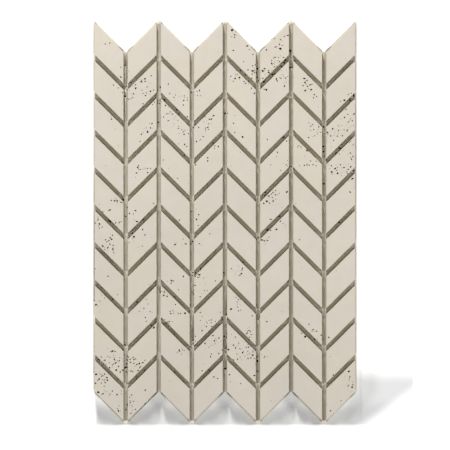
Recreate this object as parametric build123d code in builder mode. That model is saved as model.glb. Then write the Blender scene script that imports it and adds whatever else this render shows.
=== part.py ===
from build123d import *

import os
from math import cos, radians, tan

# Cast concrete wall panel with a chevron relief: one piece, lying on its flat back.
# Slanted tiles stand in columns on a slab, with straight upright grooves between the columns and
# zigzag grooves between the rows. Both ends of the slab follow the same zigzag, so that the next
# panel's points fit into them, and its edge stands out past the tiles as a narrow ledge.
# Frame: X across the columns, Y up the wall, +Z out of the wall, towards the face.
# The origin is the middle of the flat back.

# Driving dimensions, in millimetres and degrees
columns = 8
rows = 10
tile_width = 65.0      # a tile's face, across its column
strip_width = 50.0     # a tile's face, square to its slanted edges
groove_width = 10.0    # every groove, at the face
groove_depth = 14.0
ledge = 4.0            # from the outer tiles' faces to the edge of the slab
slant = 45.0           # slope of the tiles' ends, the zigzag grooves and the slab's ends
slab_thickness = 16.0  # from the back to the floors of the grooves
draft = 1.0            # lean of the tiles' sides, so that the mould lets go of them
arris = 0.4            # bevel along the edges of each tile's face

slope = tan(radians(slant))
square_to_upright = 1 / cos(radians(slant))   # from a size square to the slant to its height

column_pitch = tile_width + groove_width
row_pitch = (strip_width + groove_width) * square_to_upright
rise = column_pitch * slope
wall_run = groove_depth * tan(radians(draft))

width = columns * column_pitch - groove_width + 2 * ledge
column_height = rows * row_pitch + (2 * ledge - groove_width) * square_to_upright
overall_height = column_height + rise
low_end = -overall_height / 2


def zigzag(low_y):
    """Points of a zigzag from one side of the slab to the other, with its low corners at low_y."""
    inner = [
        (column_pitch * (i - columns / 2), low_y + rise * (1 - i % 2))
        for i in range(1, columns)
    ]
    end_reach = width / 2 - (columns / 2 - 1) * column_pitch
    (first_x, first_y), (last_x, last_y) = inner[0], inner[-1]
    last_turn = 1 if columns % 2 == 0 else -1
    return [
        (first_x - end_reach, first_y + end_reach * slope),
        *inner,
        (last_x + end_reach, last_y + last_turn * end_reach * slope),
    ]


with BuildPart() as wall_panel:
    # The slab: straight sides and two zigzag ends
    with BuildSketch():
        with BuildLine():
            Polyline(*zigzag(low_end), *reversed(zigzag(low_end + column_height)), close=True)
        make_face()
    extrude(amount=slab_thickness)

    # The tiles: the feet of all of them on the slab, drawn up to their faces with leaning sides
    foot_width = tile_width + 2 * wall_run
    foot_height = (strip_width + 2 * wall_run) * square_to_upright
    with BuildSketch(Plane.XY.offset(slab_thickness)):
        for column in range(columns):
            centre_x = column_pitch * (column - (columns - 1) / 2)
            half_climb = foot_width / 2 * slope * (-1 if column % 2 == 0 else 1)
            with Locations(*[(centre_x, row_pitch * (row - (rows - 1) / 2)) for row in range(rows)]):
                Polygon(
                    (-foot_width / 2, -foot_height / 2 - half_climb),
                    (foot_width / 2, -foot_height / 2 + half_climb),
                    (foot_width / 2, foot_height / 2 + half_climb),
                    (-foot_width / 2, foot_height / 2 - half_climb),
                )
    extrude(amount=groove_depth, taper=draft)

    # A small bevel takes the sharpness off every tile's edges
    tile_faces = wall_panel.faces().filter_by(Axis.Z).group_by(Axis.Z)[-1]
    chamfer(tile_faces.edges(), length=arris)

wall_panel.part.label = "wall_panel"

os.makedirs("parts", exist_ok=True)
export_step(wall_panel.part, "parts/wall_panel.step")

thickness = slab_thickness + groove_depth
print(f"{len(tile_faces)} tiles, {width:.1f} wide, {overall_height:.1f} high, {thickness:.1f} thick")
print(f"column height {column_height:.2f}, volume {wall_panel.part.volume / 1e6:.2f} l")
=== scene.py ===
import math
import random

import bpy
import bmesh
from mathutils import Matrix, Vector, noise
from mathutils.bvhtree import BVHTree


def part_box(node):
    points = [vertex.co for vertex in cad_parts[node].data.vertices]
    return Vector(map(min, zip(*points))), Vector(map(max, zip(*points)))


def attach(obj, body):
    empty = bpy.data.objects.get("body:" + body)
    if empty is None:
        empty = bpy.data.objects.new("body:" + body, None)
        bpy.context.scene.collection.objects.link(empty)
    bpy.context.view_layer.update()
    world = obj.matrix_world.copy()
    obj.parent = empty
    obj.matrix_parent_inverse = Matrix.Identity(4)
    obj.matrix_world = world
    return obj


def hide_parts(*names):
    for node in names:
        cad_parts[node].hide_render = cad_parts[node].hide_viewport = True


MM = 0.001

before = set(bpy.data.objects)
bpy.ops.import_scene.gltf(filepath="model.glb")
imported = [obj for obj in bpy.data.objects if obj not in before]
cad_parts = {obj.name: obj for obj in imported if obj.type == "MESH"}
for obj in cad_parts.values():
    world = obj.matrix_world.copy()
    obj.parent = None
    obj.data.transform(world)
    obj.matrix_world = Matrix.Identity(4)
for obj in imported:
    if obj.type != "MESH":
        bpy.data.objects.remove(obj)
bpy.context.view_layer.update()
panel_low, panel_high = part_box("wall_panel")
scene = bpy.context.scene

# Sizes of the part that the air holes and the material follow
SLAB_TOP = 16 * MM                     # the floors of the grooves
COLUMN_PITCH = 75 * MM
ROW_PITCH = 60 * math.sqrt(2) * MM
GROOVE_HALF = 5 * MM                   # half the width of an upright groove
GROOVE_RISE = 10 * math.sqrt(2) * MM   # a slanted groove, measured upright

# Camera: straight above the panel, like the square-on photograph
PICTURE = 450                 # pixels across the square picture
VIEW_WIDTH = 1.0193           # metres across the picture, at the level of the tiles' faces
CAMERA_HEIGHT = 4.6           # above the tiles' faces
VIEW_CENTRE_X = 0.0002
VIEW_CENTRE_Y = -0.0069
SENSOR_WIDTH = 36.0

camera_data = bpy.data.cameras.new("camera")
camera_data.sensor_width = SENSOR_WIDTH
camera_data.lens = SENSOR_WIDTH * CAMERA_HEIGHT / VIEW_WIDTH
camera = bpy.data.objects.new("camera", camera_data)
camera.location = (VIEW_CENTRE_X, VIEW_CENTRE_Y, panel_high.z + CAMERA_HEIGHT)
scene.collection.objects.link(camera)
scene.camera = camera


def from_picture(x, y):
    """The place on the panel, in metres, under a point of the picture, in pixels."""
    pixel = VIEW_WIDTH / PICTURE
    return VIEW_CENTRE_X + (x - PICTURE / 2) * pixel, VIEW_CENTRE_Y - (y - PICTURE / 2) * pixel


class Nodes:
    """Short ways to add nodes to the node tree of a material or a world."""

    def __init__(self, owner):
        owner.use_nodes = True
        self.tree = owner.node_tree

    def plug(self, value, socket):
        """Link the value into the socket if it is another node's, and otherwise set it there."""
        if isinstance(value, bpy.types.NodeSocket):
            self.tree.links.new(value, socket)
        else:
            socket.default_value = value

    def add(self, kind, inputs=None, **settings):
        made = self.tree.nodes.new(kind)
        for name, value in settings.items():
            setattr(made, name, value)
        for socket, value in (inputs or {}).items():
            self.plug(value, made.inputs[socket])
        return made

    def place(self):
        """Where a point lies, in metres, as one vector."""
        return self.add("ShaderNodeTexCoord").outputs["Object"]

    def split(self, place):
        """The X, Y and Z of a place."""
        parts = self.add("ShaderNodeSeparateXYZ", {0: place})
        return (parts.outputs[axis] for axis in "XYZ")

    def calc(self, operation, *values):
        return self.add("ShaderNodeMath", dict(enumerate(values)), operation=operation).outputs[0]

    def product(self, first, *others):
        for value in others:
            first = self.calc("MULTIPLY", first, value)
        return first

    def ramp(self, value, low, high, start=0.0, end=1.0, form="LINEAR"):
        """A value that goes from start to end while the given one goes from low to high."""
        return self.add("ShaderNodeMapRange", {
            "Value": value, "From Min": low, "From Max": high, "To Min": start, "To Max": end,
        }, interpolation_type=form).outputs["Result"]

    def step(self, value, low, high, start=0.0, end=1.0):
        """The same with soft ends."""
        return self.ramp(value, low, high, start, end, form="SMOOTHSTEP")

    def mix(self, factor, a, b, blend="MIX", data_type="RGBA"):
        """A mix of two colours, or of two numbers where the data type is FLOAT."""
        made = self.add("ShaderNodeMix", data_type=data_type, blend_type=blend)
        wanted = "RGBA" if data_type == "RGBA" else "VALUE"
        for name, value, kind in (("Factor", factor, "VALUE"), ("A", a, wanted), ("B", b, wanted)):
            if isinstance(value, tuple):
                value = (*value, 1)
            self.plug(value, next(s for s in made.inputs if s.name == name and s.type == kind))
        return next(s for s in made.outputs if s.type == wanted)

    def grey(self, value):
        """A number as a colour."""
        made = self.add("ShaderNodeCombineColor", {"Red": value, "Green": value, "Blue": value})
        return made.outputs["Color"]

    def seen_by_camera(self):
        return self.add("ShaderNodeLightPath").outputs["Is Camera Ray"]


# Lights: a key beyond the top edge, soft boxes round the other sides and a pale surround
def add_lamp(name, place, size, share):
    """A round lamp that faces the panel's middle. The place and the size are in metres, and the
    share is how much of a level white face's brightness the lamp gives."""
    place = Vector(place)
    direction = place.normalized()
    data = bpy.data.lights.new(name, "AREA")
    data.shape = "DISK"
    data.size = size
    data.energy = share * math.pi ** 2 * place.length_squared / direction.z
    lamp = bpy.data.objects.new(name, data)
    lamp.location = place
    lamp.rotation_euler = direction.to_track_quat("Z", "Y").to_euler()
    lamp.visible_camera = False
    scene.collection.objects.link(lamp)


add_lamp("key", (-0.55, 2.75, 1.4), 0.28, 0.29)
add_lamp("left_box", (-2.6, 0, 1.7), 0.8, 0.25)
add_lamp("right_box", (2.6, 0, 1.7), 0.8, 0.28)
add_lamp("low_box", (0, -2.4, 1.7), 0.8, 0.07)

# The surround is pure white to the camera, and gives this much light
AMBIENT = 0.10

scene.world = bpy.data.worlds.new("surround")
nodes = Nodes(scene.world)
background = nodes.tree.nodes["Background"]
background.inputs["Color"].default_value = (1, 1, 1, 1)
nodes.plug(nodes.mix(nodes.seen_by_camera(), AMBIENT, 1.0, data_type="FLOAT"),
           background.inputs["Strength"])

# Floor: white to the camera, and darker where the panel keeps light from it and where painted
# shadow lies. A glow that only the camera sees lifts it to white. The glow is weaker at the panel's
# low end, so that the panel's shadow shows there as in the photograph; how much glow is left there
# is painted shadow and painted light. Places are in metres.
FLOOR_REACH = 8.0
FLOOR_WHITE = 0.83
FLOOR_PAINTED_SHADOW = 0.685                  # painted shadow: a little darker to the right of the low end
RIGHT_START = (0.304, 0.318)         # along X
GLOW = 0.52
POINT_GLOW = 0.05                    # beside the points of the low end
NOTCH_GLOW = 0.36                    # in its notches, where more glow is painted light
POINTS_TO_NOTCHES = (-0.437, -0.396)  # along Y
GLOW_HALVES = (0.262, 0.290)         # along X, beside the panel's lower right corner, where halved glow is painted shadow
SHADOW_LOW = (-0.468, -0.459)        # the shadow's borders: two along Y
SHADOW_HIGH = (-0.370, -0.322)
SHADOW_LEFT = (-0.300, -0.290)       # and two along X
SHADOW_RIGHT = (0.425, 0.438)
SHADOW_SLOPE = 0.72                  # and a sloping one at the lower right
SHADOW_CORNER = (0.668, 0.718)


def shade_floor():
    material = bpy.data.materials.new("floor_white")
    nodes = Nodes(material)
    x, y, _ = nodes.split(nodes.place())
    corner = nodes.calc("SUBTRACT", nodes.calc("MULTIPLY", x, SHADOW_SLOPE), y)
    in_shadow = nodes.product(
        nodes.step(y, *SHADOW_LOW),
        nodes.step(y, *SHADOW_HIGH, 1.0, 0.0),
        nodes.step(x, *SHADOW_LEFT),
        nodes.step(corner, *SHADOW_CORNER, 1.0, 0.0),
        nodes.step(x, *SHADOW_RIGHT, 1.0, 0.0))
    # less glow beside the points lets the lamps' shadow show; more glow in the notches is painted
    # light, and halved glow past the lower right corner is painted shadow
    shadow_glow = nodes.product(
        nodes.step(y, *POINTS_TO_NOTCHES, POINT_GLOW, NOTCH_GLOW),
        nodes.step(x, *GLOW_HALVES, 1.0, 0.5))
    glow = nodes.mix(in_shadow, GLOW, shadow_glow, data_type="FLOAT")
    # painted shadow: the floor's colour is darker to the right of the low end
    painted_shadow_right = nodes.product(in_shadow, nodes.step(x, *RIGHT_START))

    shader = nodes.tree.nodes["Principled BSDF"]
    shader.inputs["Roughness"].default_value = 1.0
    shader.inputs["Specular IOR Level"].default_value = 0.0
    shader.inputs["Emission Color"].default_value = (1, 1, 1, 1)
    nodes.plug(nodes.mix(painted_shadow_right, (FLOOR_WHITE,) * 3, (FLOOR_PAINTED_SHADOW,) * 3),
               shader.inputs["Base Color"])
    nodes.plug(nodes.product(nodes.seen_by_camera(), glow), shader.inputs["Emission Strength"])
    return material


corners = [(-FLOOR_REACH, -FLOOR_REACH, 0), (FLOOR_REACH, -FLOOR_REACH, 0),
           (FLOOR_REACH, FLOOR_REACH, 0), (-FLOOR_REACH, FLOOR_REACH, 0)]
floor_mesh = bpy.data.meshes.new("floor")
floor_mesh.from_pydata(corners, [], [(0, 1, 2, 3)])
floor_mesh.materials.append(shade_floor())
floor = bpy.data.objects.new("floor", floor_mesh)
scene.collection.objects.link(floor)

# Air holes that stand out in the photograph: x and y in the picture, width in millimetres,
# then for the long ones how many times longer they are than wide, and their slope in degrees
HOLES = [
    (232, 30.1, 4.9, 1.2, 60), (234.4, 37.2, 2.6), (234.7, 34.8, 3.2, 1.3, 70), (274.5, 38.4, 3.4),
    (280.5, 39.4, 2.9), (284.3, 36.5, 2.4), (287.8, 35.4, 3.0, 1.7, 5), (105.3, 44, 2.6),
    (110, 43, 2.9), (120.7, 67.2, 2.4), (120.7, 77, 3.2), (124.8, 64.8, 2.8),
    (144.9, 78.8, 3.2, 1.7, 30), (151.3, 75.7, 2.9), (230.8, 76.2, 2.4, 1.7, 20),
    (233.4, 50.4, 2.6, 1.8, 30), (235.6, 78.1, 2.9), (237.2, 74.3, 2.4), (239.4, 77.5, 3.8),
    (240.6, 70, 3.0), (243.5, 61.6, 2.4), (247.2, 46, 3.4), (248, 69.8, 2.9), (249.3, 49.4, 2.2),
    (251.5, 78.4, 2.8, 1.9, 0), (252.3, 74.2, 2.6), (252.8, 65.7, 3.0), (252.8, 71, 3.7, 1.9, 0),
    (253, 54.4, 2.6), (257, 76.8, 3.0, 1.6, 85), (257.6, 68.3, 3.6, 1.4, 80), (262.5, 70.8, 3.6),
    (262.8, 78.3, 2.8), (264.7, 68.6, 2.9, 2.0, -35), (266.5, 49.9, 2.9), (268.6, 72.4, 3.4),
    (271.7, 60.4, 2.8), (271.7, 63.3, 3.4), (272.4, 73.8, 3.8, 1.5, 0), (273.7, 58.1, 2.4),
    (274.5, 66.8, 2.4), (275.3, 57.1, 2.4), (275.7, 47, 2.4, 2.8, 12), (276.5, 79, 3.0, 2.0, -80),
    (278.5, 57.5, 2.4), (279.6, 44.2, 2.9), (279.6, 61.7, 3.2), (280.3, 48.7, 5.2, 1.1, 0),
    (280.8, 78.3, 3.0), (281.8, 66.2, 3.8, 1.7, -40), (282.4, 45.4, 2.4), (283.4, 57.4, 3.0),
    (284.4, 62.4, 4.2), (285.3, 59.5, 4.0), (285.3, 78.1, 2.6), (290.2, 50.2, 4.4, 1.3, 0),
    (290.2, 67.2, 4.0, 1.5, 0), (292.4, 67.1, 3.0), (294.8, 60.3, 2.6, 1.7, -45),
    (304.4, 78.6, 3.2, 1.9, 5), (111.5, 119.1, 2.9), (113.6, 85, 2.4, 1.7, -30), (118.3, 88, 2.4),
    (122.3, 92.5, 2.6), (124.3, 86.2, 2.2), (124.6, 95.9, 4.0), (126.3, 85.8, 2.6),
    (127, 89.3, 2.2, 2.0, 40), (127.4, 98, 2.9), (128.8, 99.3, 2.4, 1.4, -25), (130.7, 82.3, 2.6),
    (131, 98.5, 2.4), (132.7, 97.5, 2.2), (133.5, 93.8, 2.9), (135.7, 88.3, 3.8, 1.5, 45),
    (141.4, 81.8, 3.6, 1.5, 0), (143, 93.4, 2.4), (143, 103.7, 2.4), (145.2, 81.3, 2.9),
    (145.4, 95.6, 3.0), (150.5, 91.3, 3.8), (152.6, 104.4, 2.2), (153.3, 99.9, 2.4, 1.7, -10),
    (153.6, 90, 2.2, 1.8, 50), (154.6, 102.2, 2.2), (157.1, 102.9, 2.6),
    (157.5, 103.4, 2.4, 1.4, 20), (157.6, 90, 2.6), (159.6, 103.3, 2.8), (160, 99.5, 2.4),
    (160.3, 86.7, 3.2), (163.4, 117, 2.0, 2.0, -50), (164.4, 99.6, 3.6), (165.6, 105.4, 2.9),
    (167.1, 113.7, 2.8), (168.3, 84, 2.6, 1.6, 80), (169.6, 93.4, 2.6), (170.3, 112, 2.4),
    (172.6, 114.1, 2.9), (173.9, 97.3, 2.6), (176.8, 109.5, 3.6), (183.4, 105, 2.8),
    (183.7, 100.4, 2.9, 1.6, 60), (184.4, 95.3, 2.2), (187.4, 97.9, 2.4), (187.4, 100.3, 2.2),
    (191.6, 92.1, 2.9), (197, 91.3, 2.4), (197.5, 95.5, 2.2), (199.4, 90.5, 2.6, 2.2, 75),
    (200.4, 95.7, 2.2), (209.4, 119.3, 3.0), (211.4, 119.1, 3.2), (213.5, 115.7, 2.9, 2.2, 20),
    (225, 113, 4.3, 1.4, 60), (227.4, 113.5, 2.9), (233.3, 81.2, 2.2), (244.2, 81.3, 2.4),
    (245.6, 83.4, 2.8), (248.5, 81, 3.8), (251.4, 88.2, 2.6), (254.4, 93.3, 3.0),
    (258.5, 80.1, 3.2), (264, 81, 4.0), (264.3, 89.4, 2.6), (266.4, 89.8, 3.8), (277.2, 81, 2.8),
    (284.5, 86.1, 3.0, 1.6, 85), (303, 85.6, 2.9), (304.9, 82.4, 3.2), (305.2, 90.6, 3.6),
    (306, 84, 2.2), (307.3, 80.3, 2.6), (307.6, 86.3, 2.9), (311.1, 89.6, 3.4), (313.5, 97.8, 2.8),
    (314.3, 94.6, 2.9), (316.7, 96.6, 2.6), (340.6, 101.4, 2.2), (344.3, 100.3, 3.8, 1.5, 0),
    (344.4, 117.4, 3.2), (346.1, 109.4, 2.8), (348.3, 94.3, 2.2), (350.4, 99.9, 4.0, 1.5, -45),
    (351.2, 93.3, 2.2), (354, 114, 3.0, 2.0, 40), (354.2, 95, 4.2, 1.7, 88),
    (140.1, 141.5, 2.2, 1.6, 20), (141.4, 134.2, 2.9), (147.6, 131.9, 4.7), (150.5, 127.8, 2.8),
    (152, 123.6, 3.0, 1.7, 60), (158, 122, 3.0), (168.3, 120.7, 2.0, 2.6, 15), (178, 120.3, 2.4),
    (178.4, 128.3, 2.4, 1.5, 0), (178.6, 143.8, 2.2), (181.7, 129.7, 2.2),
    (184.1, 134.2, 2.8, 1.6, 5), (184.1, 155.3, 3.0, 1.4, 40), (184.7, 144.4, 3.0),
    (186.7, 146.4, 2.4), (188.6, 133.6, 2.4), (193.2, 127.4, 3.8), (196.5, 141.5, 3.0),
    (198.6, 127.4, 2.8), (203.2, 136.6, 3.0), (205.5, 128.1, 2.4), (205.6, 130.3, 2.2),
    (207.6, 157.8, 3.2), (207.7, 127.4, 3.2), (208.5, 129.4, 2.4), (213.1, 142.7, 2.9),
    (214.3, 148.3, 2.4), (214.7, 145.9, 2.4), (218.3, 146.5, 3.2), (233.5, 123.3, 2.8),
    (234.8, 132.5, 2.6, 1.5, 20), (242.6, 137, 3.6), (267.3, 139.4, 3.0), (276.6, 156.7, 2.0),
    (277.5, 152.3, 2.9), (283.9, 137, 3.4, 1.6, 30), (286.7, 141.1, 3.0), (298.2, 146.1, 2.2),
    (300.8, 146.5, 2.0), (307.3, 150.4, 4.8, 1.3, 0), (308.5, 137.6, 2.8),
    (310.7, 126.2, 2.4, 1.6, 40), (313.8, 129.5, 2.6), (314.8, 135.8, 2.8), (317.5, 134, 2.2),
    (318.8, 126.9, 2.9), (320.3, 132.2, 2.2), (323.6, 146.1, 3.8, 1.4, 10),
    (323.8, 151.3, 3.6, 1.4, 0), (324, 126.5, 3.0, 2.4, -50), (325, 133.5, 2.9),
    (326.6, 159.7, 3.0, 1.4, 80), (327.5, 132.5, 2.8, 2.5, -40), (330.8, 136, 3.0),
    (332.7, 128.8, 3.6), (333.6, 140.3, 3.0), (336.4, 152.9, 3.7, 1.6, 42), (337.7, 136, 2.9),
    (338.4, 130.3, 2.6), (339.5, 154, 2.1, 1.5, -50), (340.3, 148, 4.3, 1.5, 12),
    (341.8, 144.1, 3.2), (342.5, 135.7, 2.9), (344.1, 129.8, 2.6), (347.2, 130.5, 2.6, 2.4, 65),
    (348.5, 122, 2.8), (350.3, 153, 2.5, 1.5, -50), (351.6, 159.3, 3.0), (352.3, 120.7, 2.8),
    (352.8, 156.6, 2.8), (355.3, 158.3, 2.4), (123.1, 199.7, 3.4), (135.4, 177.3, 1.7),
    (136.4, 172.9, 3.0), (137.5, 167.4, 3.2), (138.5, 165.7, 2.6), (140.1, 169.7, 2.4),
    (147.4, 168.4, 2.8), (147.6, 172.5, 2.8), (150.5, 168.4, 2.6), (163.3, 160, 2.0, 2.0, 50),
    (177.7, 178.3, 2.5), (195.4, 164.7, 2.9), (207.7, 160.9, 2.8), (265.2, 195, 3.0, 1.4, 0),
    (265.4, 192.1, 3.0), (268.8, 196.6, 2.8), (270.8, 164.9, 2.2, 1.3, 30), (271.4, 194, 2.9),
    (272.4, 197.4, 2.4), (275.7, 190.7, 2.6), (275.7, 194.8, 2.8, 1.3, 45), (279.3, 193.3, 2.0),
    (280.6, 170.4, 1.9), (286.3, 164.6, 2.4, 1.6, 60), (286.9, 191.9, 3.4, 1.8, 50),
    (289.6, 166.6, 3.0), (291.6, 166.4, 2.9), (299.5, 165.8, 2.0), (304.4, 165.4, 2.9),
    (307.1, 164.9, 2.8), (312.8, 164.8, 2.1, 1.6, -50), (316.3, 161.2, 2.4),
    (324.1, 183.7, 4.2, 1.2, 0), (326.3, 166.2, 2.1), (331.4, 165.8, 3.0),
    (331.7, 172, 4.0, 1.2, 0), (332, 174.2, 2.2), (335.1, 168.4, 3.5, 1.4, 20), (336.5, 170.2, 2.1),
    (337.5, 167.3, 2.0), (337.7, 173.3, 4.2, 1.1, 0), (340.3, 164.6, 2.9),
    (343.9, 167.5, 2.9, 1.5, 20), (347.3, 173.4, 2.3), (348.3, 169.4, 2.4, 2.2, 0), (349, 180, 1.9),
    (350.2, 192.1, 2.8, 1.6, -45), (350.8, 166.8, 2.9, 1.8, 60), (352.5, 178.6, 3.4, 1.9, 35),
    (354.2, 170.5, 3.8, 1.1, 0), (354.9, 187.2, 1.9), (95, 222.9, 3.0), (98, 219.9, 2.6, 1.5, 50),
    (99.3, 204.1, 1.9), (99.5, 224, 3.4), (102.2, 227.1, 2.6), (102.7, 212.1, 3.4, 1.2, 45),
    (105.5, 239.8, 2.6, 1.6, 60), (109.6, 220.8, 4.9, 1.8, -38), (109.6, 210.1, 3.1, 2.7, 14),
    (111.5, 200.4, 2.9), (111.5, 239.3, 3.4), (114.6, 200.9, 3.6), (115.7, 222.9, 2.8),
    (117.2, 200.9, 3.8), (119.4, 222.3, 2.8), (120.7, 202.2, 2.6), (125.6, 216.5, 2.8, 1.9, 5),
    (126.9, 207.3, 2.6), (129.5, 213.6, 2.8, 1.5, 85), (132.3, 233.5, 4.1), (132.7, 238.6, 2.0),
    (133.5, 214, 2.0, 1.6, 20), (133.9, 236.8, 4.0, 1.4, 10), (134.8, 228.1, 3.0),
    (135.4, 210.6, 2.8, 1.9, -15), (136.8, 221.5, 3.3, 1.6, 0), (142.6, 229.4, 3.0),
    (143, 219.4, 2.8), (153.7, 203.3, 2.8), (179.5, 220, 2.8, 1.5, 20), (191.4, 211.5, 2.8),
    (196.5, 219.4, 3.6), (198.2, 225.4, 2.0, 2.4, 0), (198.8, 214.8, 2.6), (209.8, 233.9, 2.9),
    (256.6, 239.2, 3.2), (258.5, 237.6, 2.9), (263.8, 203.3, 2.8, 1.9, -30),
    (266.7, 201.3, 4.4, 1.3, 0), (267.6, 229.9, 4.3), (269.5, 203.1, 2.7),
    (270.2, 219.1, 2.4, 1.7, -40), (270.5, 230.4, 2.6, 1.6, 0), (273.1, 201, 3.0, 1.9, 60),
    (276.4, 229.4, 3.6), (280.1, 216.1, 2.8), (280.5, 221.3, 2.8), (299.5, 239.7, 2.6),
    (339.8, 222.5, 3.2), (95, 268.9, 2.9), (102.8, 246.3, 3.4), (104.9, 249.5, 2.9),
    (107.8, 247.8, 3.0), (108, 276.2, 2.8), (109.9, 244.2, 2.8), (113, 248.4, 2.6),
    (113.2, 245.3, 2.9), (113.6, 252.5, 2.6), (129, 242.7, 1.9), (142.4, 246, 2.0, 1.6, 0),
    (175, 244.6, 2.7, 2.6, 32), (183.3, 276.4, 3.2), (185.7, 243.9, 2.6, 2.4, -18),
    (190.7, 244.1, 2.9), (192.3, 275.8, 2.4), (192.4, 241.6, 3.2), (192.8, 272.6, 2.8),
    (195.2, 272.4, 3.4, 1.2, -50), (195.3, 276.4, 3.0, 1.2, 0), (198, 274.2, 2.2, 1.5, 0),
    (198.6, 277.4, 2.4), (199.3, 243.7, 2.9), (199.6, 274.7, 3.4, 1.5, 30),
    (200.4, 268.6, 3.4, 1.3, 45), (200.8, 270.5, 2.1), (203.5, 278, 1.9), (223.6, 272.5, 3.0),
    (231.5, 268.7, 2.4), (240.1, 275.2, 2.6), (241.3, 273.5, 3.4), (242.5, 268.2, 2.9),
    (243.2, 262.5, 3.6), (261.9, 240, 3.6, 1.5, -20), (264.3, 240.9, 3.0), (267.3, 240.5, 2.6),
    (93.8, 301.1, 3.0), (95.9, 304.8, 3.2, 1.9, 20), (102, 287.4, 2.6), (104.5, 298, 1.9),
    (112.4, 299.8, 2.8, 1.8, -45), (117.6, 294.6, 2.0), (136.8, 302.3, 3.0, 1.6, 10),
    (139.4, 311.3, 2.1, 1.4, 20), (143.9, 308.3, 2.5, 1.6, 5), (145.4, 317.5, 2.8),
    (146.5, 299.3, 2.2), (148, 304, 2.1, 1.5, 15), (160.3, 292.5, 3.0), (164, 295.3, 3.0),
    (164.2, 292.8, 2.6), (167.3, 296.5, 2.4, 2.2, 45), (170.2, 311.4, 2.6, 1.4, 20),
    (170.8, 313.6, 3.0, 1.2, 0), (171.2, 280.3, 3.2, 1.2, 0), (171.2, 283.2, 2.8, 1.3, 0),
    (172.9, 310.4, 2.0, 1.4, 60), (173.4, 313.4, 2.0), (174.6, 297.2, 2.8, 1.3, -45),
    (175.5, 304.4, 2.9), (178.5, 289.7, 2.2, 1.5, 60), (180.4, 313.5, 2.9),
    (185, 313.2, 3.9, 1.3, 0), (190.3, 305.4, 2.6), (192, 292.4, 2.8), (193.4, 305.2, 2.0),
    (193.5, 294.4, 3.2), (195, 285.3, 2.9), (200.3, 296.9, 2.6, 1.4, 35),
    (200.3, 312.5, 2.6, 1.5, 0), (202.2, 316.5, 2.0), (204.4, 290.4, 2.3), (207.2, 290.6, 1.9),
    (211.3, 319.9, 2.0, 1.6, 40), (215.2, 281, 1.9, 2.2, 45), (221.7, 317.3, 3.6),
    (226.2, 314.8, 3.2, 1.9, -75), (231.1, 309.1, 4.3, 1.2, 20), (236, 297.4, 2.0, 1.6, 0),
    (237.7, 307, 2.6), (238.4, 299.4, 2.2, 1.6, 0), (238.4, 310.8, 2.4, 1.7, -50),
    (252.3, 315.8, 2.6, 1.6, 60), (257.1, 315.6, 2.0), (258.3, 319.6, 2.6), (259, 314.7, 2.2),
    (101.2, 357, 2.8), (111, 351.8, 2.2), (112.4, 351.2, 3.8, 1.4, 45), (114.4, 359.5, 3.4),
    (115, 351.5, 2.9), (124.8, 345.4, 3.8), (130, 359.5, 3.2), (133.1, 357.5, 2.6),
    (133.9, 359.5, 2.9), (135.2, 358.6, 2.0), (146.5, 321.3, 2.2), (151.3, 325.6, 3.0, 1.4, 0),
    (153.8, 327.6, 3.8, 1.5, 45), (165.8, 323.2, 3.2, 1.5, -40), (167.4, 322.1, 2.8),
    (169.3, 321.6, 2.8, 1.3, 20), (174.6, 334.2, 2.6), (179.2, 350.4, 3.0, 2.4, 75),
    (181.5, 353.8, 1.9, 1.4, 80), (190.3, 347.1, 3.0), (192.8, 340.9, 3.0), (193.6, 338, 2.5),
    (195.2, 341, 2.0), (195.3, 336.3, 2.4, 1.3, 60), (200.4, 320.4, 2.0, 1.5, 0),
    (202.2, 330.8, 3.0), (205, 343.4, 2.9), (206.5, 326.6, 3.0), (208.9, 347.3, 2.0),
    (209.2, 320.2, 1.9, 2.0, 10), (210.6, 356.6, 2.4, 1.8, 80), (211.5, 322.6, 2.1, 1.5, -50),
    (211.8, 326.4, 2.6, 1.5, 10), (212.9, 335.6, 3.0, 1.6, 20), (214.4, 340.9, 3.3, 1.5, 75),
    (216.4, 340, 1.9), (218.8, 338.1, 2.9), (218.8, 353.4, 2.9), (222.3, 350.2, 3.4),
    (224.1, 336.7, 3.4, 1.2, 0), (225.5, 348.6, 3.0), (226.3, 334.6, 2.4), (226.3, 338.1, 2.6),
    (228.4, 349.6, 3.8), (233.5, 345.3, 3.2), (235.4, 337, 2.6), (235.6, 348.1, 2.8),
    (237.5, 359.1, 3.2), (242.7, 352.7, 3.2, 1.6, 60), (246.1, 347.2, 3.0),
    (246.7, 333.6, 2.8, 1.5, 20), (247.5, 332, 2.4, 1.4, 75), (248, 358.5, 2.9),
    (248.4, 347.2, 2.9), (248.9, 330.4, 2.6, 1.7, 10), (249.3, 339.8, 3.6, 1.3, 45),
    (249.4, 337.3, 3.0), (250.4, 331.7, 2.2, 1.4, -75), (250.9, 357.9, 3.2),
    (251.2, 334.6, 2.2, 1.5, 0), (252.8, 355.3, 3.6), (252.8, 352, 2.9), (254.2, 358.5, 2.6),
    (256.1, 346.2, 3.6), (257.6, 356.7, 3.2), (264.7, 356.3, 2.0, 1.6, -40), (266.9, 321.6, 2.8),
    (301.6, 333.3, 2.6), (305.1, 336.7, 4.7), (309, 324.2, 2.6), (313.2, 329.5, 2.8),
    (315, 339.5, 3.8), (316.7, 331.2, 3.0), (321.2, 335.2, 2.9), (323.1, 339.5, 3.2),
    (328.8, 337.4, 3.0), (95.4, 383.3, 3.4), (95.8, 374.4, 3.6, 1.9, 5), (98.3, 392.3, 5.0, 1.2, 0),
    (99.1, 360.4, 3.2, 1.3, -45), (99.1, 379, 3.6), (101.5, 376.3, 2.4, 1.4, 40),
    (102.8, 393.9, 2.8, 2.2, 10), (104.5, 374.2, 2.9), (104.9, 360.4, 2.8), (105.1, 382.7, 2.6),
    (107, 377.6, 3.8), (107.4, 380.4, 3.4), (109.5, 367.8, 3.6), (112.4, 391, 2.9, 1.3, 35),
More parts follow.
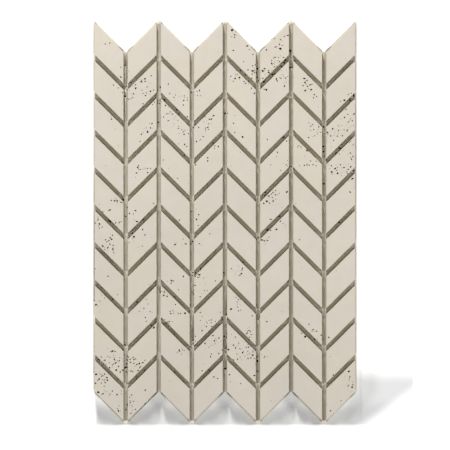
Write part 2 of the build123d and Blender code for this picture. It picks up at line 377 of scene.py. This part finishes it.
    (115.8, 362.8, 3.4), (116.3, 370.1, 4.2), (117, 394.6, 3.4, 1.3, -50),
    (117.3, 380.3, 2.8, 1.3, -40), (119.4, 360.8, 2.8), (120.2, 372, 2.8, 1.6, 60),
    (121.3, 391, 1.9, 1.5, 85), (121.3, 394, 1.9, 1.5, 85), (122.9, 370.2, 4.2, 1.2, 0),
    (125.7, 367.8, 4.0, 1.7, 15), (126.2, 372.4, 3.2, 1.4, 0), (126.3, 364.3, 3.0),
    (126.5, 384.2, 3.0), (127, 360.2, 4.0), (129.8, 397.2, 2.6), (130.9, 371.1, 3.0),
    (131.6, 395, 2.9, 1.3, -60), (133.9, 363.3, 2.4), (136, 376.6, 2.8), (136.2, 379.3, 2.6),
    (136.8, 364.5, 2.9), (138.1, 370.6, 2.8, 1.6, 20), (139.3, 363.5, 4.2, 1.05, 0),
    (140.8, 366.6, 2.2, 1.6, 40), (142.8, 362.7, 2.8, 1.7, 20), (144.3, 370.8, 2.8, 1.3, 40),
    (145, 360.3, 2.0, 2.0, 45), (145.3, 390.2, 2.8, 1.8, 60), (174.6, 372, 2.6),
    (202.2, 370.7, 2.8), (209.8, 370.7, 3.0, 1.3, 45), (213.9, 376.9, 2.6, 1.7, -45),
    (217.6, 378.5, 2.8, 1.3, 0), (225.3, 369.2, 4.6, 1.3, 0), (229.6, 374.7, 2.8),
    (233.2, 360.1, 3.8), (240.5, 383.5, 2.6), (254.4, 375.6, 3.4), (257.4, 361.5, 4.1),
    (257.8, 371.6, 3.8), (333.3, 375.1, 3.2), (348.3, 385.9, 2.9), (348.9, 371.3, 3.8),
    (349.9, 376.8, 2.9), (352.1, 387.2, 4.2), (352.8, 385, 2.8), (117.6, 408.6, 2.0),
    (118.4, 410.9, 3.4, 1.3, -60), (125.6, 410.4, 3.2), (127, 405.3, 3.6), (130.4, 402.3, 2.8),
    (131, 413.3, 2.6, 1.7, 50), (133.5, 401.3, 2.6), (135.4, 409.4, 2.6),
    (144.5, 404.2, 3.6, 1.4, 45), (148.5, 400.8, 2.4, 1.4, 45), (330.5, 410.8, 3.2),
    (341, 400.6, 2.6),
]

# Round the marked holes the concrete is pitted with small ones: middle and reach of each patch
# in the picture, and how many there are
PATCHES = [
    (127, 88, 7, 8, 5), (143, 88, 9, 9, 16), (160, 95, 3, 9, 3), (178, 98, 9, 9, 8),
    (172, 115, 9, 9, 12), (183, 132, 6, 9, 8), (149, 128, 5, 7, 6), (206, 122, 6, 8, 10),
    (200, 138, 7, 6, 5), (234, 34, 5, 6, 5), (240, 76, 9, 6, 12), (255, 72, 6, 9, 16),
    (266, 72, 6, 8, 10), (279, 42, 8, 7, 4), (276, 62, 7, 6, 14), (281, 76, 9, 7, 16),
    (292, 62, 3, 9, 5), (307, 84, 6, 8, 14), (313, 130, 6, 6, 8), (336, 133, 9, 7, 14),
    (349, 118, 5, 9, 8), (348, 150, 7, 12, 14), (340, 169, 12, 6, 14), (324, 150, 2, 14, 6),
    (300, 147, 6, 6, 5), (289, 165, 6, 5, 5), (309, 165, 8, 4, 5), (272, 195, 6, 6, 16),
    (276, 221, 8, 7, 10), (265, 240, 6, 4, 8), (238, 271, 6, 6, 10), (117, 201, 6, 3, 8),
    (98, 221, 4, 6, 6), (109, 246, 6, 8, 16), (142, 169, 7, 6, 7), (134, 225, 7, 10, 8),
    (117, 222, 6, 4, 5), (180, 243, 8, 3, 4), (196, 275, 6, 5, 10), (171, 283, 5, 5, 4),
    (165, 295, 5, 4, 8), (178, 312, 9, 5, 8), (168, 323, 4, 4, 6), (193, 294, 3, 8, 6),
    (207, 325, 8, 7, 10), (193, 342, 2, 6, 8), (181, 350, 4, 6, 6), (148, 312, 6, 12, 2),
    (115, 362, 9, 8, 22), (127, 366, 3, 12, 14), (136, 364, 9, 7, 18), (102, 362, 6, 5, 8),
    (101, 379, 8, 8, 22), (104, 393, 9, 4, 8), (118, 408, 6, 6, 6), (131, 404, 5, 10, 10),
    (237, 304, 7, 8, 8), (225, 318, 5, 6, 5), (250, 332, 5, 6, 12), (225, 340, 7, 9, 12),
    (238, 350, 8, 9, 18), (250, 353, 6, 7, 16), (257, 360, 2, 12, 8), (216, 345, 6, 9, 8),
    (258, 317, 3, 5, 4), (264, 357, 5, 3, 4), (312, 333, 9, 6, 8), (350, 380, 4, 9, 8),
    (335, 408, 8, 6, 3), (98, 300, 5, 7, 4), (148, 238, 8, 8, 3),
]
STRAY_HOLES = 90              # small ones anywhere on the face and in the grooves
BACK_HOLES = 130
EDGE_HOLES = 60
SEED = 20

# Widths of the small holes, in millimetres: the logarithm of the middle one, the spread and the
# most. None is narrower than the least width.
PATCH_WIDTHS = (0.5, 0.28, 3)
BACK_WIDTHS = (0.85, 0.4, 6)
EDGE_WIDTHS = (0.7, 0.35, 4)
STRAY_WIDTHS = (1.1, 1.9)     # evenly from the one to the other
LEAST_WIDTH = 1.1 * MM

# How many times longer than wide the holes are, evenly between these
MARKED_STRETCH = (1.0, 1.55)
PATCH_STRETCH = (1.0, 1.7)
STRAY_STRETCH = (1.0, 1.5)
BACK_STRETCH = (1.0, 1.5)
EDGE_STRETCH = (1.0, 1.3)

CUT_WIDTH = 1.07              # holes are cut a little wider than they look
MARKED_DEPTH = (1.2, 1.7)     # half the height of a hole's egg, where 1.6 is the hole's width
SMALL_DEPTH = (0.9, 1.3)
DEPTH_UNIT = 1.6
BLIND_DEPTH = 0.5             # the same in the back and the edges, as a share of the width
PATCH_SPREAD = 0.55           # of a patch's reach, for the spread of its holes
EDGE_BAND = (0.15, 0.85)      # where the holes in the edges lie, as shares of the slab's thickness


class Hole:
    """One air hole: a lumpy egg let into the surface at a point."""

    SINK = (0.2, 0.45)                 # its middle lies this share of its depth under the surface
    LUMPS = ((0.34, 1.4), (0.14, 3.5))  # how strong they are, and how close together
    VARIETY = 50                       # each hole's lumps come from another place in the noise
    MARGIN = 1.2                       # room for the lumps
    FACING = 0.5                       # surfaces with more of Z than this face up or down

    def __init__(self, point, normal, width, stretch, slope, depth, rng):
        self.half_width = width / 2
        self.half_length = self.half_width * stretch
        self.depth = depth
        self.centre = point - normal * (depth * rng.uniform(*self.SINK))
        tangent = normal.orthogonal().normalized()
        if abs(normal.z) > self.FACING:
            tangent = Vector((math.cos(slope), math.sin(slope), 0))
            tangent = (tangent - normal * tangent.dot(normal)).normalized()
        self.turn = Matrix((tangent, normal.cross(tangent), normal)).transposed()
        self.reach = max(self.half_length, self.depth) * self.MARGIN
        self.lump = Vector([rng.uniform(-self.VARIETY, self.VARIETY) for _ in range(3)])

    def surface(self, ball):
        """The points of a ball of radius 1, brought to the hole's shape and place."""
        scale = Vector((self.half_length, self.half_width, self.depth))
        for point in ball:
            bulge = 1
            for strength, closeness in self.LUMPS:
                bulge = bulge + strength * noise.noise(point * closeness + self.lump)
            yield self.centre + self.turn @ (point * scale * bulge)


def drawn_width(rng, middle, spread, most):
    return max(LEAST_WIDTH, min(rng.lognormvariate(middle, spread), most) * MM)


def face_holes(tree, rng):
    """The marked holes, the pitted patches and the strays, each on the surface under it."""
    holes = []

    def dig(x, y, width, stretch, slope, deep=None):
        point, normal, _, _ = tree.ray_cast(Vector((x, y, 1.0)), Vector((0, 0, -1)))
        if point is None:
            return
        deep = deep if deep is not None else rng.uniform(*SMALL_DEPTH)
        depth = width * deep / DEPTH_UNIT
        holes.append(Hole(point, normal, width, stretch, math.radians(slope), depth, rng))

    for x, y, width, *shape in HOLES:
        stretch, slope = shape or (rng.uniform(*MARKED_STRETCH), rng.uniform(0, 180))
        deep = rng.uniform(*MARKED_DEPTH)
        dig(*from_picture(x, y), CUT_WIDTH * width * MM, stretch, slope, deep)
    for x, y, reach_x, reach_y, count in PATCHES:
        for _ in range(count):
            place = from_picture(x + rng.gauss(0, PATCH_SPREAD) * reach_x,
                                 y + rng.gauss(0, PATCH_SPREAD) * reach_y)
            width = drawn_width(rng, *PATCH_WIDTHS)
            dig(*place, width, rng.uniform(*PATCH_STRETCH), rng.uniform(0, 180))
    for _ in range(STRAY_HOLES):
        x = rng.uniform(panel_low.x, panel_high.x)
        y = rng.uniform(panel_low.y, panel_high.y)
        width = rng.uniform(*STRAY_WIDTHS) * MM
        dig(x, y, width, rng.uniform(*STRAY_STRETCH), rng.uniform(0, 180))
    return holes


def back_holes(tree, rng):
    holes = []
    for _ in range(BACK_HOLES):
        x = rng.uniform(panel_low.x, panel_high.x)
        y = rng.uniform(panel_low.y, panel_high.y)
        point, normal, _, _ = tree.ray_cast(Vector((x, y, -1.0)), Vector((0, 0, 1)))
        if point is not None and abs(point.z) < MM:
            width = drawn_width(rng, *BACK_WIDTHS)
            stretch, slope = rng.uniform(*BACK_STRETCH), rng.uniform(0, math.pi)
            holes.append(Hole(point, normal, width, stretch, slope, width * BLIND_DEPTH, rng))
    return holes


def edge_holes(tree, rng):
    """Holes in the long sides and in the zigzag ends of the slab, by turns."""
    holes = []
    for i in range(EDGE_HOLES):
        level = rng.uniform(*EDGE_BAND) * SLAB_TOP
        if i % 2:
            start = Vector((rng.choice((-1, 1)), rng.uniform(panel_low.y, panel_high.y), level))
            along = Vector((-start.x, 0, 0))
        else:
            start = Vector((rng.uniform(panel_low.x, panel_high.x), rng.choice((-1, 1)), level))
            along = Vector((0, -start.y, 0))
        point, normal, _, _ = tree.ray_cast(start, along)
        if point is not None:
            width = drawn_width(rng, *EDGE_WIDTHS)
            stretch = rng.uniform(*EDGE_STRETCH)
            holes.append(Hole(point, normal, width, stretch, 0.0, width * BLIND_DEPTH, rng))
    return holes


def apart(holes):
    """The holes in batches in which none touches another."""
    clearance = 1.05
    batches = []
    for hole in sorted(holes, key=lambda h: -h.reach):
        for batch in batches:
            if all((hole.centre - other.centre).length > (hole.reach + other.reach) * clearance
                   for other in batch):
                batch.append(hole)
                break
        else:
            batches.append([hole])
    return batches


def icosphere(subdivisions):
    ball = bmesh.new()
    bmesh.ops.create_icosphere(ball, subdivisions=subdivisions, radius=1.0)
    points = [v.co.copy() for v in ball.verts]
    triangles = [tuple(v.index for v in face.verts) for face in ball.faces]
    ball.free()
    return points, triangles


FINE_WIDTH = 3.5 * MM         # holes wider than this get more faces
WELD = 0.002 * MM             # corners of the CAD mesh closer than this are one
FLAT = math.radians(0.05)     # its faces that meet at less than this are one


def clean_copy(source):
    """The CAD mesh with its corners joined, so that it is one closed surface."""
    joined = bmesh.new()
    joined.from_mesh(source.data)
    bmesh.ops.transform(joined, matrix=source.matrix_world, verts=joined.verts)
    bmesh.ops.remove_doubles(joined, verts=joined.verts, dist=WELD)
    bmesh.ops.dissolve_limit(joined, angle_limit=FLAT, verts=joined.verts, edges=joined.edges)
    mesh = bpy.data.meshes.new("wall_panel_cast")
    joined.to_mesh(mesh)
    joined.free()
    return mesh


def cut_holes(panel, batches):
    """Take the holes out of the panel's mesh, a batch at a time."""
    fine, coarse = icosphere(3), icosphere(2)
    for batch in batches:
        points, triangles = [], []
        for hole in batch:
            ball_points, ball_triangles = fine if hole.half_width > FINE_WIDTH / 2 else coarse
            first = len(points)
            points.extend(hole.surface(ball_points))
            triangles.extend(tuple(first + i for i in t) for t in ball_triangles)
        mesh = bpy.data.meshes.new("holes")
        mesh.from_pydata(points, [], triangles)
        cutter = bpy.data.objects.new("holes", mesh)
        scene.collection.objects.link(cutter)
        modifier = panel.modifiers.new("holes", "BOOLEAN")
        modifier.operation = "DIFFERENCE"
        modifier.solver = "MANIFOLD"
        modifier.object = cutter
        bpy.context.view_layer.update()
        depsgraph = bpy.context.evaluated_depsgraph_get()
        cut = bpy.data.meshes.new_from_object(panel.evaluated_get(depsgraph))
        panel.modifiers.clear()
        old, panel.data = panel.data, cut
        bpy.data.meshes.remove(old)
        bpy.data.objects.remove(cutter)
        bpy.data.meshes.remove(mesh)
    panel.data.name = "wall_panel_cast"


rng = random.Random(SEED)
cad_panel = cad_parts["wall_panel"]
panel = bpy.data.objects.new("wall_panel_cast", clean_copy(cad_panel))
scene.collection.objects.link(panel)
surface = BVHTree.FromPolygons([v.co for v in panel.data.vertices],
                               [p.vertices for p in panel.data.polygons])
holes = face_holes(surface, rng) + back_holes(surface, rng) + edge_holes(surface, rng)
cut_holes(panel, apart(holes))

# How deep each point lies in a hole: the material is painted darker there, painted shade. Only the
# holes are smooth.
IN_A_HOLE = 0.01 * MM
depths = [surface.find_nearest(v.co)[3] for v in panel.data.vertices]
panel.data.attributes.new("hole_depth", "FLOAT", "POINT").data.foreach_set("value", depths)
for polygon in panel.data.polygons:
    polygon.use_smooth = any(depths[i] > IN_A_HOLE for i in polygon.vertices)

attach(panel, "root")
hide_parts("wall_panel")

# Concrete: cream grey, softly clouded, with a sandy grain, fine specks and pinholes, and painted
# light and shade in its grooves and holes
CONCRETE = (0.70, 0.64, 0.55)
WARMER = (1.0, 0.995, 0.98)      # two tints of it, in clouds, as shares of that colour
COOLER = (0.995, 1.0, 1.015)
RECESS_PAINTED_LIGHT = (0.712, 0.667, 0.568)   # in the grooves and on the slab: paler and greyer than the faces, painted light that lifts their shade
PAINTED_LOWER_SHADE = (0.43, 0.40, 0.33)  # painted shade along the lower side of the slanted grooves
SAND = (0.42, 0.37, 0.30)
# painted shade of the pinholes
PINHOLE_PAINTED_SHADE = (0.26, 0.22, 0.17)
HOLE_PAINTED_SHADES = [                 # painted shade in an air hole: the colour, and the depths where it comes in
    ((0.49, 0.405, 0.285), 0.08 * MM, 0.5 * MM),
    ((0.33, 0.215, 0.09), 0.4 * MM, 1.1 * MM),
    ((0.02, 0.012, 0.005), 1.7 * MM, 2.8 * MM),
]
SPECULAR = 0.06
ROUGHNESS = (0.84, 0.94)
FLOOR_LEVEL = SLAB_TOP + 0.6 * MM    # what lies lower is the floor of a groove
RECESS_LEVELS = (panel_high.z - 1.5 * MM, panel_high.z - 0.5 * MM)
BUMP = 0.6

# Painted light and shade on the grooves' floors, as shares of their colour
UPRIGHT_PAINTED_LIGHT = 1.03              # painted light on an upright groove's left side, and painted shade on its right
UPRIGHT_PAINTED_SHADE = 0.88
UPRIGHT_SIDES = (-3 * MM, 4 * MM)
CROSSING_PAINTED_LIGHT = 0.23                  # painted light added where a row of slanted grooves crosses it
CROSSING_FADE = 3 * MM
SLANTED_PAINTED_LIGHT = 1.04                   # painted light on a slanted groove, and painted shade on its mouths
MOUTH_PAINTED_SHADE = 0.64
MOUTH_BORDER = (-1.5 * MM, 1.0 * MM)
PAINTED_SHADE_REACH = 6 * MM             # how far the painted shade reaches from the lower wall of a slanted groove
TOP_END = 4.5 * ROW_PITCH        # the rows of grooves end here, and the slab's top end begins

# Noises: scale, detail and roughness. Most of each lies in the noise band.
BROAD = (5.0, 3.0, 0.5)
TINTS = (14.0, 2.0, 0.5)
PATCHY = (38.0, 5.0, 0.6)
UNEVEN = (260.0, 3.0, 0.5)
SANDY = (900.0, 4.0, 0.7)
NOISE_BAND = (0.3, 0.7)
TINT_BAND = (0.35, 0.65)

# How far they change the brightness, either way, and how high the finest relief is
BROAD_SWING = 0.025
PATCHY_SWING = 0.022
SANDY_SWING = 0.03
SANDY_HEIGHT = 0.10 * MM
UNEVEN_HEIGHT = 0.08 * MM
PINHOLE_DEPTH = 0.35 * MM

# Specks lie in random cells, so many to a metre. Their borders and reach are shares of a cell,
# and only the cells whose chance lies in the range have one.
GRAIN_CELLS = 620.0
GRAIN_BORDER = (0.22, 0.34)
GRAIN_CHANCE = (0.80, 1.0)
GRAIN_STRENGTH = 0.22
PINHOLE_CELLS = 170.0
PINHOLE_REACH = 0.085
PINHOLE_CHANCE = (0.72, 1.0)
PINHOLE_SOFTNESS = 0.03
PINHOLE_STRENGTH = 0.6


def groove_colour(nodes, across, upright, level):
    """The colour below the faces, with painted light and shade by the place in the pattern of
    grooves.
    """
    on_floor = nodes.calc("LESS_THAN", level, FLOOR_LEVEL)

    # The zigzag climbs from 0 in a valley to one column's pitch at a peak. Above the wall is how
    # far up a slanted groove a point lies, from its lower wall.
    zigzag = nodes.calc("PINGPONG", nodes.calc("ADD", across, 3 * COLUMN_PITCH), COLUMN_PITCH)
    lower_wall = nodes.calc("SUBTRACT", zigzag, (COLUMN_PITCH + GROOVE_RISE) / 2)
    along_rows = nodes.calc("SUBTRACT", upright, lower_wall)
    above_wall = nodes.calc("FLOORED_MODULO", along_rows, ROW_PITCH)
    beside_column = nodes.calc("PINGPONG", across, COLUMN_PITCH / 2)

    # Painted shade lies in the slanted grooves, darkest at the lower wall, and not on the slab's
    # top end
    painted_lower_shade = nodes.product(
        nodes.ramp(above_wall, 0.0, PAINTED_SHADE_REACH, 1.0, 0.0),
        nodes.calc("GREATER_THAN", beside_column, GROOVE_HALF),
        nodes.calc("LESS_THAN", along_rows, TOP_END),
        on_floor)
    colour = nodes.mix(painted_lower_shade, RECESS_PAINTED_LIGHT, PAINTED_LOWER_SHADE)

    # Painted shade darkens the upright grooves to the right, and painted light makes them paler at
    # the left and where the slanted ones cross them
    half = COLUMN_PITCH / 2
    offset = nodes.calc("FLOORED_MODULO", nodes.calc("ADD", across, half), COLUMN_PITCH)
    offset = nodes.calc("SUBTRACT", offset, half)
    in_row = nodes.calc(
        "ADD", nodes.ramp(above_wall, GROOVE_RISE, GROOVE_RISE + CROSSING_FADE, 1.0, 0.0),
        nodes.ramp(above_wall, ROW_PITCH - CROSSING_FADE, ROW_PITCH))
    upright_light_and_shade = nodes.calc(
        "ADD", nodes.ramp(offset, *UPRIGHT_SIDES, UPRIGHT_PAINTED_LIGHT, UPRIGHT_PAINTED_SHADE),
        nodes.calc("MULTIPLY", in_row, CROSSING_PAINTED_LIGHT))

    # Painted shade darkens the mouths of the slanted ones in wedges: up to the level of the lower
    # corner at a peak, and of the upper corner in a valley
    turn = nodes.calc("SIGN", nodes.calc("SUBTRACT", zigzag, half))
    from_middle = nodes.calc("SUBTRACT", above_wall, GROOVE_RISE / 2)
    from_wall = nodes.calc("ADD", GROOVE_RISE / 2, nodes.calc("MULTIPLY", turn, from_middle))
    into_groove = nodes.calc("SUBTRACT", beside_column, GROOVE_HALF)
    slanted_light_and_shade = nodes.ramp(nodes.calc("SUBTRACT", from_wall, into_groove), *MOUTH_BORDER,
                              SLANTED_PAINTED_LIGHT, MOUTH_PAINTED_SHADE)

    in_upright = nodes.calc("LESS_THAN", beside_column, GROOVE_HALF)
    # painted light and shade of the grooves' floors, none on the faces
    tone = nodes.mix(in_upright, slanted_light_and_shade, upright_light_and_shade, data_type="FLOAT")
    tone = nodes.mix(on_floor, 1.0, tone, data_type="FLOAT")
    return nodes.mix(1.0, colour, nodes.grey(tone), "MULTIPLY")


def shade_concrete():
    material = bpy.data.materials.new("concrete")
    nodes = Nodes(material)
    place = nodes.place()
    across, upright, level = nodes.split(place)

    def cloud(scale, detail, roughness):
        return nodes.add("ShaderNodeTexNoise", {
            "Vector": place, "Scale": scale, "Detail": detail, "Roughness": roughness,
        }).outputs["Fac"]

    def swing(noise_value, most, middle=0.0):
        return nodes.ramp(noise_value, *NOISE_BAND, middle - most, middle + most)

    def cells(scale):
        """How far a point is from the middle of its cell, and two chances of that cell."""
        made = nodes.add("ShaderNodeTexVoronoi",
                         {"Vector": place, "Scale": scale, "Randomness": 1.0})
        chance = nodes.add("ShaderNodeSeparateColor", {"Color": made.outputs["Color"]})
        return made.outputs["Distance"], chance.outputs["Red"], chance.outputs["Green"]

    # Clouds of tint and of brightness
    patchy, sandy = cloud(*PATCHY), cloud(*SANDY)
    brightness = nodes.calc("ADD", swing(cloud(*BROAD), BROAD_SWING, 1.0),
                            swing(patchy, PATCHY_SWING))
    brightness = nodes.calc("ADD", brightness, swing(sandy, SANDY_SWING))
    warm, cool = (tuple(a * b for a, b in zip(CONCRETE, tint)) for tint in (WARMER, COOLER))
    colour = nodes.mix(nodes.ramp(cloud(*TINTS), *TINT_BAND), warm, cool)
    # below the faces: the recess colour with painted light and shade
    below = groove_colour(nodes, across, upright, level)
    colour = nodes.mix(nodes.ramp(level, *RECESS_LEVELS), below, colour)
    colour = nodes.mix(1.0, colour, nodes.grey(brightness), "MULTIPLY")

    # Darker grains of sand, and pinholes under a millimetre in only some of the cells, with painted
    # shade in them
    distance, _, chance = cells(GRAIN_CELLS)
    grain = nodes.product(nodes.ramp(distance, *GRAIN_BORDER, 1.0, 0.0),
                          nodes.ramp(chance, *GRAIN_CHANCE, 0.0, GRAIN_STRENGTH))
    distance, chance, _ = cells(PINHOLE_CELLS)
    reach = nodes.ramp(chance, *PINHOLE_CHANCE, 0.0, PINHOLE_REACH)
    pinhole = nodes.ramp(nodes.calc("SUBTRACT", distance, reach), -PINHOLE_SOFTNESS, 0.0, 1.0, 0.0)
    colour = nodes.mix(grain, colour, SAND)
    colour = nodes.mix(nodes.calc("MULTIPLY", pinhole, PINHOLE_STRENGTH), colour, PINHOLE_PAINTED_SHADE)

    # Painted shade in the air holes, darker with depth
    hole_depth = nodes.add("ShaderNodeAttribute", attribute_name="hole_depth").outputs["Fac"]
    for painted_hole_shade, first, full in HOLE_PAINTED_SHADES:
        colour = nodes.mix(nodes.ramp(hole_depth, first, full), colour, painted_hole_shade)

    # Relief too fine for the mesh
    height = nodes.calc("ADD", nodes.calc("MULTIPLY", sandy, SANDY_HEIGHT),
                        nodes.calc("MULTIPLY", cloud(*UNEVEN), UNEVEN_HEIGHT))
    height = nodes.calc("SUBTRACT", height, nodes.calc("MULTIPLY", pinhole, PINHOLE_DEPTH))
    bump = nodes.add("ShaderNodeBump", {"Height": height, "Strength": BUMP, "Distance": 1.0})

    shader = nodes.tree.nodes["Principled BSDF"]
    shader.inputs["Specular IOR Level"].default_value = SPECULAR
    nodes.plug(colour, shader.inputs["Base Color"])
    nodes.plug(nodes.ramp(patchy, *NOISE_BAND, *ROUGHNESS), shader.inputs["Roughness"])
    nodes.plug(bump.outputs["Normal"], shader.inputs["Normal"])
    return material


concrete = shade_concrete()
for piece in (panel, cad_panel):
    piece.data.materials.clear()
    piece.data.materials.append(concrete)

scene.view_settings.view_transform = "Standard"

bpy.context.view_layer.update()
